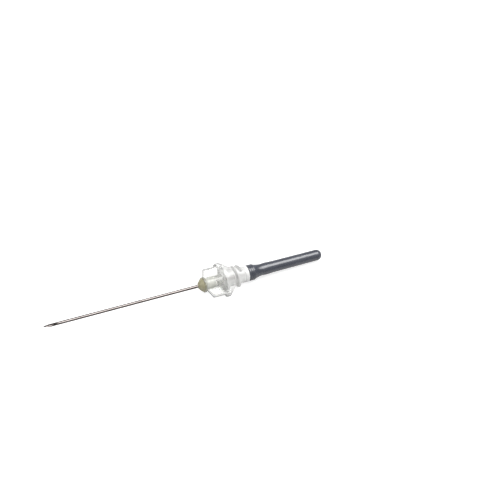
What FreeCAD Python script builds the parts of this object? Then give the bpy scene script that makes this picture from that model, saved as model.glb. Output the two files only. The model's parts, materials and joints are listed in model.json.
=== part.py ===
import FreeCAD
import Part

import math
import os

os.makedirs("parts", exist_ok=True)

# Every size is in millimetres and every angle in degrees.
# The needle is built along X with the hub's front rim at X = 0, the patient
# point towards -X and the rubber sleeve towards +X. It is tilted and lifted
# into its rest on the surface at the end.

# Steel tube of both cannulas, 22 gauge
tube_outside = 0.72
tube_wall = 0.12

# Patient cannula
free_length = 38.0
point_bevel_length = 3.6
point_bevel_turn = 38.0
lancet_angle = 15.0
lancet_turn = 35.0
patient_cannula_in_chamber = 0.9

# Cannula for the sample tube
tube_cannula_point = 27.7
tube_cannula_start = 5.7
tube_bevel_length = 2.4

# Front tube of the hub: rim, adhesive well and flash chamber
front_radius = 1.465
rim_radius = 1.8
rim_width = 0.5
rim_wall = 0.12
well_radius = 1.12
well_flare = 0.7
well_depth = 2.9
chamber_radius = 0.9
chamber_end = 6.5

# Fins on the front tube
fin_reach = 3.74
fin_thickness = 0.5
fin_rake = 0.9
fin_corner = 0.25

# Flange: a round disc with a flat above and below and two narrow lobes
flange_front = 4.9
flange_thickness = 0.6
disc_radius = 3.15
disc_half_height = 3.0
lobe_reach = 4.4
lobe_half_width = 1.0
lobe_crown = 0.45
lobe_shoulder = 0.56
lip_height = 0.75
lip_width = 0.53
lip_foot = 0.2
lip_bulge = 0.34
lip_bulge_drop = 0.12

# Round collar behind the flange
collar_radius = 2.65
collar_length = 1.75
collar_edge = 0.15

# Threaded body
core_radius = 1.92
thread_radius = 2.57
thread_pitch = 1.25
thread_start = 7.45
thread_end = 9.4
thread_phase = 248.0
thread_run_out = 0.5
thread_foot = 1.0
thread_crest = 0.4
thread_sunk = 0.2
groove_depth = 0.12
groove_width = 0.35
shoulder_length = 0.85
body_end = 11.15

# Nipple that carries the sleeve
nipple_radius = 0.95
nipple_length = 5.6
barb_height = 0.08
barb_length = 0.9
rear_well_radius = 0.6
rear_well_depth = 3.4

# Adhesive
meniscus_reach = 1.2
meniscus_bulge = 0.12
rear_bead_height = 0.25

# Rubber sleeve
sleeve_length = 18.9
mouth_gap = 0.05
nipple_clearance = 0.03
bell_radius = 1.88
bell_length = 1.5
bell_lip = 0.2
bell_groove = 0.1
flank_hollow = 0.16
neck_radius = 1.35
neck_position = 3.6
swell_height = 0.07
shaft_radius = 1.33
tip_radius = 1.25
sleeve_bore_radius = 0.55
sleeve_end_wall = 1.8

# Length by which a cut runs past a surface
overcut = 0.1

# Sizes that follow from the ones above
tube_radius = tube_outside / 2
lumen_radius = tube_radius - tube_wall
point_x = -(free_length + meniscus_reach)
patient_cannula_end = well_depth + patient_cannula_in_chamber
flange_back = flange_front + flange_thickness
lip_front = flange_front - lip_height
collar_back = flange_back + collar_length
nipple_end = body_end + nipple_length
rear_well_front = nipple_end - rear_well_depth
mouth_x = body_end + mouth_gap
sleeve_end = mouth_x + sleeve_length
dome_centre = sleeve_end - tip_radius
bore_end = sleeve_end - sleeve_end_wall
sleeve_seat_radius = nipple_radius + nipple_clearance

AXIS = FreeCAD.Vector(1, 0, 0)
CENTRE = FreeCAD.Vector(0, 0, 0)


def spot(x, radius):
    return FreeCAD.Vector(x, 0, radius)


def outline(start, *steps):
    """Closed face in the XZ plane. A step is a corner, or an arc's middle and end."""
    edges = []
    here = start
    for step in steps + (start,):
        if isinstance(step[0], tuple):
            middle, end = step
            edges.append(Part.Arc(spot(*here), spot(*middle), spot(*end)).toShape())
        else:
            end = step
            edges.append(Part.LineSegment(spot(*here), spot(*end)).toShape())
        here = end
    return Part.Face(Part.Wire(edges))


def turned(face):
    """Solid of revolution of an outline about the needle's axis."""
    return face.revolve(CENTRE, AXIS, 360)


def rod(radius, start, end):
    return Part.makeCylinder(radius, end - start, spot(start, 0), AXIS)


def tube(start, end):
    return rod(tube_radius, start, end).cut(rod(lumen_radius, start - overcut, end + overcut))


def oval_prism(half_length, half_width, start, end):
    """Prism along the axis with an oval section, long in Y and short in Z."""
    long_end = FreeCAD.Vector(start, half_length, 0)
    short_end = FreeCAD.Vector(start, 0, half_width)
    ellipse = Part.Ellipse(long_end, short_end, spot(start, 0))
    face = Part.Face(Part.Wire([ellipse.toShape()]))
    return face.extrude(AXIS * (end - start))


def grinding_block(angle, turn, length):
    """Half space above a plane through the point, to be ground away."""
    block = Part.makeBox(4 * length, 4 * length, 4 * length)
    block.translate(FreeCAD.Vector(-2 * length, -2 * length, 0))
    block.rotate(CENTRE, FreeCAD.Vector(0, 1, 0), -angle)
    block.translate(spot(0, -tube_radius))
    block.rotate(spot(0, -tube_radius), AXIS, turn)
    return block


def ground_point(end, bevel_length):
    """Tube from its sharp point at X = 0 to an end, bevel facing up."""
    bevel_angle = math.degrees(math.atan2(tube_outside, bevel_length))
    blank = tube(0, end)
    blank = blank.cut(grinding_block(bevel_angle, 0, bevel_length))
    for side in (1, -1):
        blank = blank.cut(grinding_block(lancet_angle, side * lancet_turn, bevel_length))
    return blank


def patient_cannula():
    cannula = ground_point(patient_cannula_end - point_x, point_bevel_length)
    cannula.translate(spot(point_x, 0))
    cannula.rotate(CENTRE, AXIS, point_bevel_turn)
    return cannula


def tube_cannula():
    cannula = ground_point(tube_cannula_point - tube_cannula_start, tube_bevel_length)
    cannula.rotate(CENTRE, FreeCAD.Vector(0, 0, 1), 180)
    cannula.translate(spot(tube_cannula_point, 0))
    return cannula


def front_tube():
    """Outside of the clear front tube with its rounded rim."""
    rim_corner = rim_radius - rim_wall
    bend = rim_wall * (1 - math.sqrt(0.5))
    face = outline(
        (0, 0),
        (0, rim_corner),
        ((bend, rim_radius - bend), (rim_wall, rim_radius)),
        (rim_width, rim_radius),
        (rim_width + rim_radius - front_radius, front_radius),
        (flange_back, front_radius),
        (flange_back, 0),
    )
    return turned(face)


def front_cavity():
    """Flared adhesive well and, behind it, the flash chamber."""
    face = outline(
        (0, 0),
        (0, rim_radius - rim_wall),
        (well_flare, well_radius),
        (well_depth, well_radius),
        (well_depth, chamber_radius),
        (chamber_end, chamber_radius),
        (chamber_end, 0),
    )
    return turned(face)


def fin():
    """Thin clear fin with a raked front edge, rooted in the tube's wall."""
    root = (front_radius + well_radius) / 2
    foot_x = rim_width
    top_x = foot_x + fin_rake
    corner_x = top_x - fin_rake * fin_corner / (fin_reach - front_radius)
    back_x = flange_front + flange_thickness / 2
    corners = [
        (foot_x, root),
        (foot_x, front_radius),
        (corner_x, fin_reach - fin_corner),
        (top_x + fin_corner, fin_reach),
        (back_x, fin_reach),
        (back_x, root),
    ]
    points = [FreeCAD.Vector(x, y, -fin_thickness / 2) for x, y in corners]
    plate = Part.Face(Part.makePolygon(points + points[:1]))
    return plate.extrude(FreeCAD.Vector(0, 0, fin_thickness))


def flange_disc():
    """Round disc with a flat above and below that keeps the needle from rolling."""
    reach = disc_radius + overcut
    corner = FreeCAD.Vector(flange_front - overcut, -reach, -disc_half_height)
    slab = Part.makeBox(flange_thickness + 2 * overcut, 2 * reach, 2 * disc_half_height, corner)
    return rod(disc_radius, flange_front, flange_back).common(slab)


def lobes():
    """Two lobes with a lip that stands forward and a back that slopes down to the collar."""
    lip_inside = lobe_reach - lip_width
    crown = outline(
        (flange_front, 0),
        (flange_front, lip_inside - lip_foot),
        (lip_front, lip_inside),
        ((flange_front - lip_bulge, lobe_reach - lip_bulge_drop), (flange_front + lobe_crown, lobe_reach)),
        (flange_front + lobe_shoulder, lobe_reach),
        (collar_back - collar_edge, collar_radius),
        (collar_back - collar_edge, 0),
    )
    oval = oval_prism(lobe_reach, lobe_half_width, lip_front - overcut, collar_back)
    return oval.common(turned(crown))


def threaded_body():
    """Collar, core, groove and shoulder ring, with the barbed nipple behind."""
    groove_back = body_end - shoulder_length
    groove_front = groove_back - groove_width
    barb_top = nipple_end - barb_length + barb_height
    face = outline(
        (flange_front, 0),
        (flange_front, collar_radius),
        (collar_back - collar_edge, collar_radius),
        (collar_back, collar_radius - collar_edge),
        (collar_back, core_radius),
        (groove_front, core_radius),
        ((groove_front + groove_width / 2, core_radius - groove_depth), (groove_back, core_radius)),
        (body_end, core_radius),
        (body_end, nipple_radius),
        (nipple_end - barb_length, nipple_radius),
        (barb_top, nipple_radius + barb_height),
        (nipple_end, nipple_radius - barb_height),
        (nipple_end, 0),
    )
    return turned(face)


def thread_ridge():
    """Coarse right-hand ridge that rises from the core and runs out at both ends."""
    root = core_radius - thread_sunk
    rise = thread_radius - root
    root_half = thread_crest / 2 + (thread_foot - thread_crest) / 2 * rise / (thread_radius - core_radius)
    points = [
        FreeCAD.Vector(root, 0, -root_half),
        FreeCAD.Vector(thread_radius, 0, -thread_crest / 2),
        FreeCAD.Vector(thread_radius, 0, thread_crest / 2),
        FreeCAD.Vector(root, 0, root_half),
    ]
    section = Part.makePolygon(points + points[:1])
    helix = Part.makeHelix(thread_pitch, thread_end - thread_start, core_radius)
    ridge = Part.Wire(helix.Edges).makePipeShell([section], True, True)
    ridge.rotate(CENTRE, FreeCAD.Vector(0, 0, 1), 180)
    ridge.rotate(CENTRE, FreeCAD.Vector(0, 1, 0), 90)
    ridge.rotate(CENTRE, AXIS, thread_phase - 90)
    ridge.translate(spot(thread_start, 0))
    front = thread_start - thread_foot / 2
    back = thread_end + thread_foot / 2
    envelope = turned(outline(
        (front, 0),
        (front, root),
        (thread_start + thread_run_out, thread_radius + thread_crest),
        (thread_end - thread_run_out, thread_radius + thread_crest),
        (back, root),
        (back, 0),
    ))
    return ridge.common(envelope)


def hub():
    """One clear moulding from the front rim to the nipple."""
    blade = fin()
    other_blade = blade.copy()
    other_blade.rotate(CENTRE, AXIS, 180)
    body = threaded_body()
    for feature in (front_tube(), flange_disc(), lobes(), blade, other_blade, thread_ridge()):
        body = body.fuse(feature)
    body = body.cut(front_cavity())
    body = body.cut(rod(tube_radius, chamber_end - overcut, nipple_end))
    return body.cut(rod(rear_well_radius, rear_well_front, nipple_end + overcut))


def front_adhesive():
    """Olive plug in the front well, domed up to the cannula."""
    edge = rim_radius - rim_wall
    rise = edge - tube_radius
    slant = math.hypot(meniscus_reach, rise)
    bulge_x = -meniscus_reach / 2 - meniscus_bulge * rise / slant
    bulge_radius = (edge + tube_radius) / 2 + meniscus_bulge * meniscus_reach / slant
    face = outline(
        (well_depth, tube_radius),
        (well_depth, well_radius),
        (well_flare, well_radius),
        (0, edge),
        ((bulge_x, bulge_radius), (-meniscus_reach, tube_radius)),
    )
    return turned(face)


def rear_adhesive():
    """Adhesive in the nipple's well, domed round the tube cannula."""
    face = outline(
        (rear_well_front, tube_radius),
        (rear_well_front, rear_well_radius),
        (nipple_end, rear_well_radius),
        (nipple_end + rear_bead_height, tube_radius),
    )
    return turned(face)


def sleeve_outside():
    """Profile of the sleeve from its rolled mouth to its domed end."""
    bell_back = mouth_x + bell_length
    neck_x = mouth_x + neck_position
    swell_x = nipple_end - barb_length
    after_swell_x = nipple_end + barb_length
    stations = [
        spot(bell_back, bell_radius - bell_groove),
        spot((bell_back + neck_x) / 2, (bell_radius + neck_radius) / 2 - flank_hollow),
        spot(neck_x, neck_radius),
        spot(swell_x, neck_radius + swell_height),
        spot(after_swell_x, shaft_radius),
    ]
    flank = Part.BSplineCurve()
    flank.interpolate(stations)
    dome_start = spot(dome_centre, tip_radius)
    dome_middle = spot(dome_centre + tip_radius * math.sqrt(0.5), tip_radius * math.sqrt(0.5))
    return [
        Part.makePolygon([
            spot(mouth_x, sleeve_seat_radius),
            spot(mouth_x, bell_radius - bell_lip),
            spot(mouth_x + bell_lip, bell_radius),
            spot(bell_back - bell_lip, bell_radius),
            stations[0],
        ]),
        flank.toShape(),
        Part.LineSegment(stations[-1], dome_start).toShape(),
        Part.Arc(dome_start, dome_middle, spot(sleeve_end, 0)).toShape(),
    ]


def sleeve_inside():
    """Profile of the sleeve's bore, from its domed end back to its mouth."""
    bore_centre = bore_end - sleeve_bore_radius
    corner = sleeve_bore_radius * math.sqrt(0.5)
    barb_clear = sleeve_seat_radius + barb_height
    barb_front = nipple_end - barb_length
    seat_back = nipple_end + rear_bead_height + nipple_clearance
    return [
        Part.LineSegment(spot(sleeve_end, 0), spot(bore_end, 0)).toShape(),
        Part.Arc(
            spot(bore_end, 0),
            spot(bore_centre + corner, corner),
            spot(bore_centre, sleeve_bore_radius),
        ).toShape(),
        Part.makePolygon([
            spot(bore_centre, sleeve_bore_radius),
            spot(seat_back + barb_clear - sleeve_bore_radius, sleeve_bore_radius),
            spot(seat_back, barb_clear),
            spot(barb_front, barb_clear),
            spot(barb_front - barb_height, sleeve_seat_radius),
            spot(mouth_x, sleeve_seat_radius),
        ]),
    ]


def rubber_sleeve():
    """Moulded sleeve, open at the nipple and closed over the tube cannula."""
    edges = []
    for piece in sleeve_outside() + sleeve_inside():
        edges.extend(piece.Edges)
    return turned(Part.Face(Part.Wire(edges)))


def rest_tilt():
    """Angle at which the disc's back edge and the sleeve's end both touch down."""
    reach = dome_centre - flange_back
    slant = math.hypot(disc_half_height, reach)
    return math.degrees(math.acos(tip_radius / slant) - math.atan2(reach, disc_half_height))


def settled(shape):
    """Shape tilted into its rest, above the middle of its own footprint."""
    tilt = rest_tilt()
    sine = math.sin(math.radians(tilt))
    cosine = math.cos(math.radians(tilt))
    point_height = -tube_radius * math.cos(math.radians(point_bevel_turn))
    left = point_x * cosine + point_height * sine
    right = dome_centre * cosine + tip_radius
    lift = disc_half_height * cosine + flange_back * sine
    resting = shape.copy()
    resting.rotate(CENTRE, FreeCAD.Vector(0, 1, 0), tilt)
    resting.translate(FreeCAD.Vector(-(left + right) / 2, 0, lift))
    return resting


pieces = {
    "patient_cannula": patient_cannula(),
    "tube_cannula": tube_cannula(),
    "hub": hub(),
    "front_adhesive": front_adhesive(),
    "rear_adhesive": rear_adhesive(),
    "rubber_sleeve": rubber_sleeve(),
}

for name, piece in pieces.items():
    resting = settled(piece)
    resting.exportStep("parts/" + name + ".step")
    box = resting.BoundBox
    print(name, len(resting.Solids), resting.isValid(), round(resting.Volume, 3),
          [round(v, 3) for v in (box.XMin, box.YMin, box.ZMin, box.XMax, box.YMax, box.ZMax)])
print("tilt", rest_tilt())
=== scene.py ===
import json
import math

import bmesh
import bpy
from mathutils import Matrix, Quaternion, Vector
from mathutils.noise import fractal


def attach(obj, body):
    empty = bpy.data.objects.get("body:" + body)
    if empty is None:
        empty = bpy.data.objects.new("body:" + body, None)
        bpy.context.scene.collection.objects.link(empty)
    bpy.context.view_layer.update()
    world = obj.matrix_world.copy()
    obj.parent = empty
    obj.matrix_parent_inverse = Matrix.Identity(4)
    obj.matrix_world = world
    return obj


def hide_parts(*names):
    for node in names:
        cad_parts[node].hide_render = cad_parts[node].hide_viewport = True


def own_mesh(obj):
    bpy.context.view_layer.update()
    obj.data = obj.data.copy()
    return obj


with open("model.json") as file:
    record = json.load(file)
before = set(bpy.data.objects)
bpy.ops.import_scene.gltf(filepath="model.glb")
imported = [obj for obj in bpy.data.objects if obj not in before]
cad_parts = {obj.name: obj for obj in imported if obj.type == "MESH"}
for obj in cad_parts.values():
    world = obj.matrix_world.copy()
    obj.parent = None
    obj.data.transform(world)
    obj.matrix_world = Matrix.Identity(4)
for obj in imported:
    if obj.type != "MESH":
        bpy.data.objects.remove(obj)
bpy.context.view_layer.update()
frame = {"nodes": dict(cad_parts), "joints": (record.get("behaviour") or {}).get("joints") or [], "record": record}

# Places along the needle's axis, in millimetres from the hub's front rim
RIM_END = 0.5
FLANGE_FRONT = 4.9
FLANGE_BACK = 5.5
COLLAR_END = 7.25
BODY_END = 11.15
MOUTH = 11.2
NIPPLE_END = 16.75
SLEEVE_END = 30.1

# Distances from that axis, and other sizes, in millimetres
TUBE_RADIUS = 1.465
FIN_REACH = 3.74
DISC_RADIUS = 3.15
DISC_HALF_HEIGHT = 3.0
LOBE_REACH = 4.4
COLLAR_RADIUS = 2.65
CORE_RADIUS = 1.92
NIPPLE_RADIUS = 0.95
NIPPLE_BORE = 0.585
CANNULA_BORE = 0.345
CHAMBER_RADIUS = 0.9
WELL_RADIUS = 1.105
BARB_LENGTH = 0.9
BARB_HEIGHT = 0.08
REAR_WELL_DEPTH = 3.4
SEAT_RADIUS = 0.98
SLEEVE_BORE = 0.55
SLEEVE_TIP_WALL = 1.8

# The needle lies slightly tilted: its joint's axis and its end mount say how
TO_FRONT = Vector(frame["joints"][0]["axis"])
MOUNTS = {mount["name"]: Vector(mount["pos_m"]) for mount in frame["record"]["mounts"]}
MILLIMETRE = 0.001
TILT = math.atan2(TO_FRONT.z, -TO_FRONT.x)
RIM_CENTRE = MOUNTS["sample_tube_end"] + TO_FRONT * SLEEVE_END * MILLIMETRE
ON_NEEDLE = (
    Matrix.Translation(RIM_CENTRE)
    @ Matrix.Rotation(TILT, 4, "Y")
    @ Matrix.Scale(MILLIMETRE, 4)
)

# Camera, fitted to the needle's place in the photograph, in degrees and metres
CAMERA_AZIMUTH = -35.95
CAMERA_ELEVATION = 60.96
CAMERA_ROLL = 15.82
CAMERA_LENS = 219.9
CAMERA_DISTANCE = 0.7047
CAMERA_AIM = Vector((0.01853, 0.00523, 0.00297))

# Studio light: a lamp nearly overhead, and a glow of the sky around one direction
LAMP_PLACE = (0.2, 0.085, 0.45)
LAMP_SIZE = 0.32
LAMP_POWER = 2.6
GLOW_DIRECTION = Vector((-0.42, 0.05, 0.9))

# Directions square to the fins' raked front edge and to the lobes' sloping back
RAKE_INWARD = (0.93, -0.368, 0)
SLOPE_OUTWARD = (-0.73, -0.683, 0)


def fillet(before, corner, after, radius, steps):
    """Points of the arc that rounds one corner of a profile."""
    inward = (before - corner).normalized()
    outward = (after - corner).normalized()
    half = inward.angle(outward) / 2
    centre = corner + (inward + outward).normalized() * radius / math.sin(half)
    reach = radius / math.tan(half)
    start = corner + inward * reach - centre
    turn = start.angle_signed(corner + outward * reach - centre)
    return [
        centre + Matrix.Rotation(-turn * index / steps, 2) @ start for index in range(steps + 1)
    ]


def rounded(corners):
    """Profile through corners of (along, radius), with a rounding and its steps where given."""
    places = [Vector(corner[:2]) for corner in corners]
    points = []
    for index, corner in enumerate(corners):
        if len(corner) == 2:
            points.append(places[index])
            continue
        steps = corner[3] if len(corner) > 3 else 4
        after = places[(index + 1) % len(places)]
        points.extend(fillet(places[index - 1], places[index], after, corner[2], steps))
    return points


def spun(profile, steps, closed=False):
    """Mesh of a profile turned about the needle's axis, in millimetres."""
    shape = bmesh.new()
    points = [shape.verts.new((place.x, 0, place.y)) for place in profile]
    follow = points[1:] + points[:1] if closed else points[1:]
    lines = [shape.edges.new(pair) for pair in zip(points, follow)]
    bmesh.ops.spin(
        shape, geom=points + lines, cent=(0, 0, 0), axis=(1, 0, 0),
        angle=math.tau, steps=steps, use_merge=True,
    )
    bmesh.ops.remove_doubles(shape, verts=shape.verts, dist=1e-5)
    bmesh.ops.recalc_face_normals(shape, faces=shape.faces)
    return shape


def finished(name, shape, material, smooth_angle=35):
    """Object of a mesh drawn in millimetres, put in its place on the tilted needle."""
    bmesh.ops.transform(shape, matrix=ON_NEEDLE, verts=shape.verts)
    mesh = bpy.data.meshes.new(name)
    shape.to_mesh(mesh)
    shape.free()
    mesh.shade_smooth()
    mesh.set_sharp_from_angle(angle=math.radians(smooth_angle))
    piece = bpy.data.objects.new(name, mesh)
    bpy.context.scene.collection.objects.link(piece)
    put_material(piece, material)
    return piece


class Shade:
    """One output of a shader node. Plain arithmetic on it adds Math nodes."""

    def __init__(self, tree, output=None):
        self.tree = tree
        self.output = output

    def node(self, kind, settings=None, inputs=None, output=0):
        """Any node: its settings first, then its inputs by name, and one of its outputs."""
        made = self.tree.nodes.new("ShaderNode" + kind)
        for name, value in (settings or {}).items():
            if name == "stops":
                fill_ramp(made.color_ramp, value)
            else:
                setattr(made, name, value)
        for name, value in (inputs or {}).items():
            if isinstance(value, Shade):
                self.tree.links.new(value.output, made.inputs[name])
            else:
                made.inputs[name].default_value = value
        return Shade(self.tree, made.outputs[output] if made.outputs else None)

    def maths(self, operation, first, second):
        return self.node("Math", {"operation": operation}, {0: first, 1: second})

    def most(self, other):
        return self.maths("MAXIMUM", self, other)

    def __add__(self, other):
        return self.maths("ADD", self, other)

    def __radd__(self, other):
        return self.maths("ADD", other, self)

    def __sub__(self, other):
        return self.maths("SUBTRACT", self, other)

    def __rsub__(self, other):
        return self.maths("SUBTRACT", other, self)

    def __mul__(self, other):
        return self.maths("MULTIPLY", self, other)

    def __rmul__(self, other):
        return self.maths("MULTIPLY", other, self)


def fill_ramp(ramp, stops):
    """Stops of (place, colour) put into a colour ramp."""
    while len(ramp.elements) < len(stops):
        ramp.elements.new(1)
    for element, (place, colour) in zip(ramp.elements, stops):
        element.position = place
        element.color = colour


def new_material(name):
    material = bpy.data.materials.new(name)
    material.use_nodes = True
    material.node_tree.nodes.clear()
    return material, Shade(material.node_tree)


def grey(value):
    return (value, value, value, 1)


def on_needle(shade, stretch=(1, 1, 1)):
    """Object coordinates turned into millimetres along and across the needle, then stretched."""
    place = shade.node("TexCoord", output="Object")
    straight = shade.node(
        "Mapping",
        {"vector_type": "TEXTURE"},
        {
            "Vector": place,
            "Location": RIM_CENTRE,
            "Rotation": (0, TILT, 0),
            "Scale": (MILLIMETRE,) * 3,
        },
    )
    return shade.node("Mapping", None, {"Vector": straight, "Scale": stretch})


def noise(shade, place, scale, detail=3.0, roughness=0.5):
    return shade.node(
        "TexNoise",
        None,
        {"Vector": place, "Scale": scale, "Detail": detail, "Roughness": roughness},
    )


def ramp(shade, factor, *stops):
    return shade.node("ValToRGB", {"stops": stops}, {"Fac": factor})


def blend(shade, factor, first, second):
    """Colour between two others."""
    return shade.node(
        "Mix", {"data_type": "RGBA"}, {"Factor": factor, "A": first, "B": second}, "Result"
    )


def step(shade, value, start, end):
    """Soft step from 0 at start to 1 at end."""
    return shade.node(
        "MapRange",
        {"interpolation_type": "SMOOTHSTEP"},
        {"Value": value, "From Min": start, "From Max": end},
    )


def along(shade, place):
    return shade.node("SeparateXYZ", None, {"Vector": place}, "X")


def from_axis(shade, place):
    """Distance from the needle's axis."""
    outwards = shade.node("VectorMath", {"operation": "MULTIPLY"}, {0: place, 1: (0, 1, 1)})
    return shade.node("VectorMath", {"operation": "LENGTH"}, {0: outwards}, "Value")


def depth_towards(shade, place, direction):
    """How far a place lies towards a direction."""
    return shade.node(
        "VectorMath", {"operation": "DOT_PRODUCT"}, {0: place, 1: direction}, "Value"
    )


def clouded(shade, cloud, dark, light, start=0.3):
    """Colour that wanders between two others with the cloud."""
    return ramp(shade, cloud, (start, (*dark, 1)), (0.7, (*light, 1)))


def bump(shade, height, strength, depth):
    """Normal of a relief that is so many millimetres deep."""
    return shade.node(
        "Bump", None, {"Height": height, "Strength": strength, "Distance": depth * MILLIMETRE}
    )


def surface(shade, **inputs):
    """Principled surface as the material's output. Underscores in names stand for spaces."""
    named = {name.replace("_", " "): value for name, value in inputs.items()}
    look = shade.node("BsdfPrincipled", None, named)
    shade.node("OutputMaterial", None, {"Surface": look})


def drawn_steel():
    """Drawn tube, darker at its edges, with fine lengthwise lines and a warm cast."""
    material, shade = new_material("drawn_steel")
    lines = noise(shade, on_needle(shade, (0.25, 9, 9)), 3.0, 6.0, 0.6)
    cloud = noise(shade, on_needle(shade), 0.35, 2.0)
    surface(
        shade,
        Base_Color=clouded(shade, cloud, (0.16, 0.143, 0.137), (0.2, 0.18, 0.173)),
        Metallic=1.0,
        Roughness=0.08 + lines * 0.08,
        Specular_Tint=(0.14, 0.12, 0.12, 1),
        Normal=bump(shade, lines, 0.25, 0.01),
    )
    return material


def hub_regions(shade, place):
    """How milky the hub's plastic is, the painted shade as grey outlines along the edges of fins and lobes, and
    where its front is.
    """
    lengthwise = along(shade, place)
    radius = from_axis(shade, place)
    thick = ramp(
        shade, lengthwise * 0.05,
        (0.016, grey(0.1)), (0.026, grey(0.5)), (0.135, grey(0.46)), (0.155, grey(0.24)),
        (0.36, grey(0.42)), (0.4, grey(0.5)), (0.5, grey(0.56)), (0.54, grey(0.75)),
    )
    in_front = step(shade, lengthwise, 4.95, 4.75)
    fins = in_front * step(shade, lengthwise, 0.45, 0.65) * step(shade, radius, 1.5, 1.75)
    lobes = step(shade, radius, 3.2, 3.45)
    thin = fins + lobes * 0.7
    # Painted shade: bands along the fins' raked front and outer edges and along the lobes' sloping backs and rims,
    # made milky and grey
    half = shade.node("VectorMath", {"operation": "ABSOLUTE"}, {0: place})
    fin_painted_outline = step(shade, depth_towards(shade, half, RAKE_INWARD), 0.4, 0.2) + step(
        shade, radius, 3.3, 3.5
    )
    lobe_painted_outline = step(shade, depth_towards(shade, half, SLOPE_OUTWARD), -6.6, -6.8).most(
        step(shade, radius, 3.95, 4.15)
    )
    painted_outline = (fins * fin_painted_outline).most(lobe_painted_outline * lobes)
    milkiness = thick * (1 - thin) + thin * (0.05 + painted_outline * 0.6)
    return milkiness, painted_outline, in_front


def clear_moulding():
    """Cloudy clear plastic, nearly clear in the thin fins and milky in the thick thread, with painted shade as
    grey outlines on the edges of fins and lobes.
    """
    material, shade = new_material("clear_moulding")
    place = on_needle(shade)
    cloud = noise(shade, place, 0.8, 3.0)
    milkiness, painted_outline, in_front = hub_regions(shade, place)
    wave = bump(shade, noise(shade, place, 1.6, 2.0), 0.15, 0.01)
    clear = shade.node(
        "BsdfPrincipled",
        None,
        {
            "Base Color": (0.95, 0.955, 0.94, 1),
            "Transmission Weight": 1.0,
            "IOR": 1.4,
            "Roughness": milkiness * 0.6 + cloud * 0.03,
            "Normal": wave,
        },
    )
    white = clouded(shade, cloud, (0.87, 0.87, 0.86), (0.94, 0.94, 0.93))
    straw = clouded(shade, cloud, (0.66, 0.66, 0.625), (0.74, 0.74, 0.7))
    # Painted shade: along the outlines of fins and lobes the milk is pulled towards grey
    milk = shade.node(
        "BsdfPrincipled",
        None,
        {
            "Base Color": blend(
                shade, painted_outline * 0.8, blend(shade, in_front, white, straw), grey(0.36)
            ),
            "Roughness": 0.15 + in_front * 0.18 + cloud * 0.1,
            "Normal": wave,
        },
    )
    mixed = shade.node("MixShader", None, {0: milkiness, 1: clear, 2: milk})
    shade.node("OutputMaterial", None, {"Surface": mixed})
    return material


def olive_adhesive():
    """Hard glossy adhesive, olive where it is thick in front and pale inside the tube."""
    material, shade = new_material("olive_adhesive")
    place = on_needle(shade)
    cloud = noise(shade, place, 1.2, 3.0)
    inside = step(shade, along(shade, place), 0.35, 0.5)
    surface(
        shade,
        Base_Color=blend(
            shade,
            inside,
            clouded(shade, cloud, (0.27, 0.25, 0.15), (0.38, 0.353, 0.225), 0.35),
            clouded(shade, cloud, (0.62, 0.63, 0.53), (0.73, 0.74, 0.65), 0.35),
        ),
        Roughness=0.12 + cloud * 0.1,
        Coat_Weight=0.4,
        Normal=bump(shade, cloud, 0.4, 0.05),
    )
    return material


def pale_adhesive():
    """Hard adhesive of a pale straw colour."""
    material, shade = new_material("pale_adhesive")
    cloud = noise(shade, on_needle(shade), 1.5, 3.0)
    surface(
        shade,
        Base_Color=clouded(shade, cloud, (0.7, 0.7, 0.58), (0.84, 0.84, 0.75)),
        Roughness=0.2 + cloud * 0.1,
        Normal=bump(shade, cloud, 0.3, 0.05),
    )
    return material


def slate_rubber():
    """Soft dark rubber with a fine matt grain and a faint bloom."""
    material, shade = new_material("slate_rubber")
    grain = noise(shade, on_needle(shade), 9.0, 4.0, 0.6)
    bloom = noise(shade, on_needle(shade, (0.4, 1, 1)), 0.7, 4.0, 0.6)
    surface(
        shade,
        Base_Color=clouded(shade, bloom, (0.041, 0.045, 0.059), (0.061, 0.067, 0.085), 0.35),
        Roughness=0.22 + grain * 0.1,
        Specular_IOR_Level=0.8,
        Normal=bump(shade, grain, 0.35, 0.01),
    )
    return material


def white_floor():
    """Pale floor. The camera sees it as white, also through the clear plastic."""
    material, shade = new_material("white_floor")
    seen = shade.node("LightPath", output="Is Camera Ray")
    through = shade.node("LightPath", output="Is Transmission Ray")
    grain = noise(shade, shade.node("TexCoord", output="Object"), 60.0)
    look = shade.node(
        "BsdfPrincipled",
        None,
        {
            "Base Color": ramp(shade, grain, (0, grey(0.61)), (1, grey(0.65))),
            "Roughness": 0.9,
            "Specular IOR Level": 0.1,
            "Emission Color": (1, 1, 1, 1),
            "Emission Strength": seen * 0.7 + through * 0.42,
        },
    )
    shade.node("OutputMaterial", None, {"Surface": look})
    return material


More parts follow.
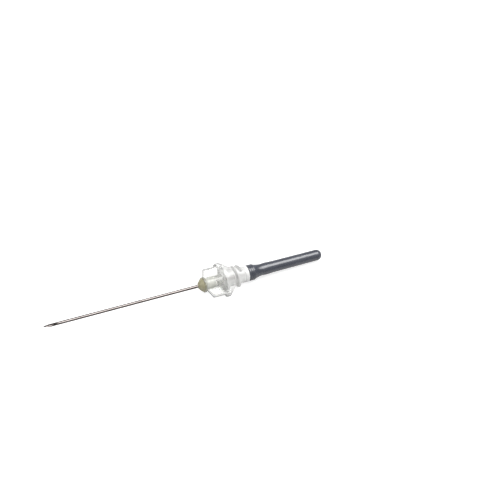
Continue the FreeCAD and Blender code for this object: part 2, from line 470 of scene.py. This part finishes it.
def sleeve_profile():
    """Outside from the domed end to the rolled mouth, then the bore back to its own end."""
    barb = NIPPLE_END - BARB_LENGTH
    outside = [
        (SLEEVE_END, 0),
        (SLEEVE_END, 1.25, 1.2, 12),
        (barb + 1.8, 1.33, 8),
        (barb, 1.42, 1.6),
        (MOUTH + 3.4, 1.34, 2.0, 6),
        (MOUTH + 2.55, 1.46, 2.0, 6),
        (MOUTH + 1.5, 1.76, 0.25),
        (MOUTH + 1.42, 1.86, 0.05),
        (MOUTH + 1.16, 1.86, 0.05),
        (MOUTH + 1.1, 1.78, 0.04),
        (MOUTH + 1.0, 1.78, 0.04),
        (MOUTH + 0.94, 1.87, 0.05),
        (MOUTH + 0.72, 1.87, 0.05),
        (MOUTH + 0.64, 1.76, 0.04),
        (MOUTH + 0.54, 1.76, 0.04),
        (MOUTH + 0.46, 1.88, 0.1),
        (MOUTH, 1.88, 0.22, 6),
    ]
    inside = [
        (MOUTH, SEAT_RADIUS, 0.15),
        (barb - 0.1, SEAT_RADIUS),
        (barb, SEAT_RADIUS + BARB_HEIGHT),
        (NIPPLE_END + 0.3, SEAT_RADIUS + BARB_HEIGHT),
        (NIPPLE_END + 0.8, SLEEVE_BORE),
        (SLEEVE_END - SLEEVE_TIP_WALL, SLEEVE_BORE, 0.5, 6),
        (SLEEVE_END - SLEEVE_TIP_WALL, 0),
    ]
    return rounded(outside + inside)


def sleeve():
    """Soft sleeve with a ribbed rolled mouth and a faintly uneven skin."""
    shape = spun(sleeve_profile(), 72)
    for vertex in shape.verts:
        off_axis = Vector((0, vertex.co.y, vertex.co.z))
        swell = fractal(vertex.co * 0.45, 1.0, 2.0, 2) * 0.012
        vertex.co += off_axis * swell
    piece = finished("sleeve_skin", shape, slate_rubber(), 50)
    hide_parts("rubber_sleeve")
    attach(piece, "needle")
    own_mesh(piece)


def hub_profile():
    """Closed profile of the round parts of the hub, its wells, chamber and bore."""
    outside = [
        (0, 1.665, 0.02),
        (0, 1.8, 0.1),
        (RIM_END, 1.8, 0.15),
        (0.835, TUBE_RADIUS, 0.3),
        (FLANGE_FRONT, TUBE_RADIUS, 0.15),
        (FLANGE_FRONT, DISC_RADIUS, 0.12),
        (FLANGE_BACK, DISC_RADIUS, 0.12),
        (FLANGE_BACK, COLLAR_RADIUS, 0.08),
        (COLLAR_END, COLLAR_RADIUS, 0.16),
        (COLLAR_END, CORE_RADIUS, 0.12),
        (9.95, CORE_RADIUS, 0.08),
        (10.12, 1.8, 0.1),
        (10.3, CORE_RADIUS, 0.08),
        (BODY_END, CORE_RADIUS, 0.12),
        (BODY_END, NIPPLE_RADIUS, 0.06),
        (15.85, NIPPLE_RADIUS),
        (15.93, NIPPLE_RADIUS + BARB_HEIGHT, 0.05),
        (NIPPLE_END, 0.87, 0.05),
    ]
    inside = [
        (NIPPLE_END, NIPPLE_BORE, 0.03),
        (NIPPLE_END - REAR_WELL_DEPTH, NIPPLE_BORE),
        (NIPPLE_END - REAR_WELL_DEPTH, CANNULA_BORE),
        (6.5, CANNULA_BORE),
        (6.5, CHAMBER_RADIUS, 0.08),
        (2.885, CHAMBER_RADIUS, 0.03),
        (2.885, WELL_RADIUS, 0.03),
        (0.7, WELL_RADIUS, 0.3),
    ]
    return rounded(outside + inside)


def plate(outline, half_thickness):
    """Flat piece of an outline in the plane of the fins."""
    shape = bmesh.new()
    corners = [shape.verts.new((place.x, place.y, -half_thickness)) for place in outline]
    face = shape.faces.new(corners)
    grown = bmesh.ops.extrude_face_region(shape, geom=[face])
    risen = [part for part in grown["geom"] if isinstance(part, bmesh.types.BMVert)]
    bmesh.ops.translate(shape, vec=(0, 0, 2 * half_thickness), verts=risen)
    bmesh.ops.recalc_face_normals(shape, faces=shape.faces)
    return shape


def soften(shape, width):
    """Bevel on all edges that are sharper than 40 degrees."""
    edges = [edge for edge in shape.edges if edge.calc_face_angle(0) > math.radians(40)]
    bmesh.ops.bevel(
        shape, geom=edges, offset=width, offset_type="OFFSET", segments=3,
        profile=0.5, affect="EDGES", clamp_overlap=True, material=-1,
    )


def fin():
    """Thin fin with a raked front edge, rooted in the wall of the front tube."""
    outline = rounded([
        (RIM_END, 1.29),
        (RIM_END, TUBE_RADIUS),
        (1.4, FIN_REACH, 0.3),
        (5.2, FIN_REACH),
        (5.2, 1.29),
    ])
    shape = plate(outline, 0.25)
    soften(shape, 0.07)
    return shape


def lobe():
    """Lobe that thins outwards, its lip standing forward and its back sloping down."""
    outline = rounded([
        (5.2, 1.7),
        (FLANGE_FRONT, 1.7),
        (FLANGE_FRONT, 3.67, 0.1),
        (4.15, 3.84, 0.1),
        (4.45, LOBE_REACH, 0.45),
        (5.46, LOBE_REACH, 0.12),
        (7.1, COLLAR_RADIUS),
        (7.1, 1.7),
    ])
    shape = plate(outline, 1.0)
    for height in (2.4, 2.9, 3.3, 3.6, 3.9, 4.1, 4.25):
        bmesh.ops.bisect_plane(
            shape, geom=shape.verts[:] + shape.edges[:] + shape.faces[:], dist=1e-4,
            plane_co=(0, height, 0), plane_no=(0, 1, 0),
        )
    for vertex in shape.verts:
        vertex.co.z *= math.sqrt(1 - (vertex.co.y / 4.5) ** 2)
    soften(shape, 0.1)
    return shape


def thread():
    """Coarse right-hand ridge that rises from the core and runs out at both ends."""
    start, end, pitch = 7.45, 9.4, 1.25
    foot, steepness = 1.72, 1.25
    steps = 96
    section = rounded([
        (-0.59, foot),
        (-0.2, 2.57, 0.13),
        (0.2, 2.57, 0.13),
        (0.59, foot),
    ])
    shape = bmesh.new()
    corners = [shape.verts.new((start + place.x, 0, place.y)) for place in section]
    face = shape.faces.new(corners)
    first = Matrix.Rotation(math.radians(158), 4, "X")
    bmesh.ops.transform(shape, matrix=first, verts=shape.verts)
    bmesh.ops.spin(
        shape, geom=[face], cent=(0, 0, 0), axis=(1, 0, 0),
        dvec=((end - start) / steps, 0, 0), angle=math.tau * (end - start) / pitch, steps=steps,
    )
    for vertex in shape.verts:
        from_end = min(vertex.co.x - start + 0.5, end + 0.5 - vertex.co.x)
        limit = foot + steepness * max(0, from_end)
        radius = math.hypot(vertex.co.y, vertex.co.z)
        if radius > limit:
            vertex.co.y *= limit / radius
            vertex.co.z *= limit / radius
    bmesh.ops.recalc_face_normals(shape, faces=shape.faces)
    return shape


def merged(base, others):
    """One closed mesh made of several that overlap."""
    def wrap(shape):
        mesh = bpy.data.meshes.new("part")
        shape.to_mesh(mesh)
        shape.free()
        piece = bpy.data.objects.new("part", mesh)
        bpy.context.scene.collection.objects.link(piece)
        return piece

    whole = wrap(base)
    tools = [wrap(shape) for shape in others]
    for tool in tools:
        union = whole.modifiers.new("union", "BOOLEAN")
        union.operation = "UNION"
        union.solver = "EXACT"
        union.object = tool
    graph = bpy.context.evaluated_depsgraph_get()
    shape = bmesh.new()
    shape.from_mesh(whole.evaluated_get(graph).to_mesh())
    for piece in [whole] + tools:
        bpy.data.objects.remove(piece)
    return shape


def hub():
    """One clear moulding: round body, fins, lobes and thread."""
    blade = fin()
    other_blade = blade.copy()
    ear = lobe()
    other_ear = ear.copy()
    half_turn = Matrix.Rotation(math.pi, 4, "X")
    for shape in (other_blade, other_ear):
        bmesh.ops.transform(shape, matrix=half_turn, verts=shape.verts)
    body = spun(hub_profile(), 96, closed=True)
    for vertex in body.verts:
        vertex.co.z = max(-DISC_HALF_HEIGHT, min(vertex.co.z, DISC_HALF_HEIGHT))
    shape = merged(body, [blade, other_blade, ear, other_ear, thread()])
    piece = finished("hub_moulding", shape, clear_moulding())
    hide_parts("hub")
    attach(piece, "needle")


def put_material(piece, material):
    piece.data.materials.clear()
    piece.data.materials.append(material)


def set_floor():
    mesh = bpy.data.meshes.new("floor")
    shape = bmesh.new()
    bmesh.ops.create_grid(shape, x_segments=1, y_segments=1, size=0.6)
    shape.to_mesh(mesh)
    shape.free()
    floor = bpy.data.objects.new("floor", mesh)
    bpy.context.scene.collection.objects.link(floor)
    put_material(floor, white_floor())


def set_world():
    """White studio with a broad soft glow overhead, a little towards the patient point."""
    world = bpy.data.worlds.new("studio")
    world.use_nodes = True
    world.node_tree.nodes.clear()
    shade = Shade(world.node_tree)
    seen = shade.node("LightPath", output="Is Camera Ray")
    direction = shade.node("TexCoord", output="Generated")
    towards = depth_towards(shade, direction, GLOW_DIRECTION)
    glow = 0.3 + step(shade, towards, 0.2, 0.95) * 0.7
    light = shade.node(
        "Background", None, {"Color": (1, 1, 1, 1), "Strength": glow * (1 - seen) + seen}
    )
    shade.node("OutputWorld", None, {"Surface": light})
    bpy.context.scene.world = world


def add_lamp():
    """Soft square lamp that faces the needle."""
    lamp = bpy.data.lights.new("key_lamp", "AREA")
    lamp.size = LAMP_SIZE
    lamp.energy = LAMP_POWER
    holder = bpy.data.objects.new("key_lamp", lamp)
    bpy.context.scene.collection.objects.link(holder)
    holder.location = LAMP_PLACE
    holder.rotation_euler = Vector(LAMP_PLACE).to_track_quat("Z", "Y").to_euler()


def set_camera():
    """Camera turned about its aim, with a roll about its own axis."""
    azimuth = math.radians(CAMERA_AZIMUTH)
    elevation = math.radians(CAMERA_ELEVATION)
    back = Vector((
        math.sin(azimuth) * math.cos(elevation),
        -math.cos(azimuth) * math.cos(elevation),
        math.sin(elevation),
    ))
    data = bpy.data.cameras.new("camera")
    data.lens = CAMERA_LENS
    data.clip_start = 0.01
    camera = bpy.data.objects.new("camera", data)
    bpy.context.scene.collection.objects.link(camera)
    camera.location = CAMERA_AIM + back * CAMERA_DISTANCE
    roll = Quaternion((0, 0, 1), math.radians(CAMERA_ROLL))
    camera.rotation_mode = "QUATERNION"
    camera.rotation_quaternion = back.to_track_quat("Z", "Y") @ roll
    bpy.context.scene.camera = camera


finishes = {
    "patient_cannula": drawn_steel(),
    "front_adhesive": olive_adhesive(),
    "rear_adhesive": pale_adhesive(),
}
finishes["tube_cannula"] = finishes["patient_cannula"]
for name, finish in finishes.items():
    put_material(frame["nodes"][name], finish)

hub()
sleeve()
set_floor()
set_world()
add_lamp()
set_camera()

scene = bpy.context.scene
scene.view_settings.view_transform = "Standard"
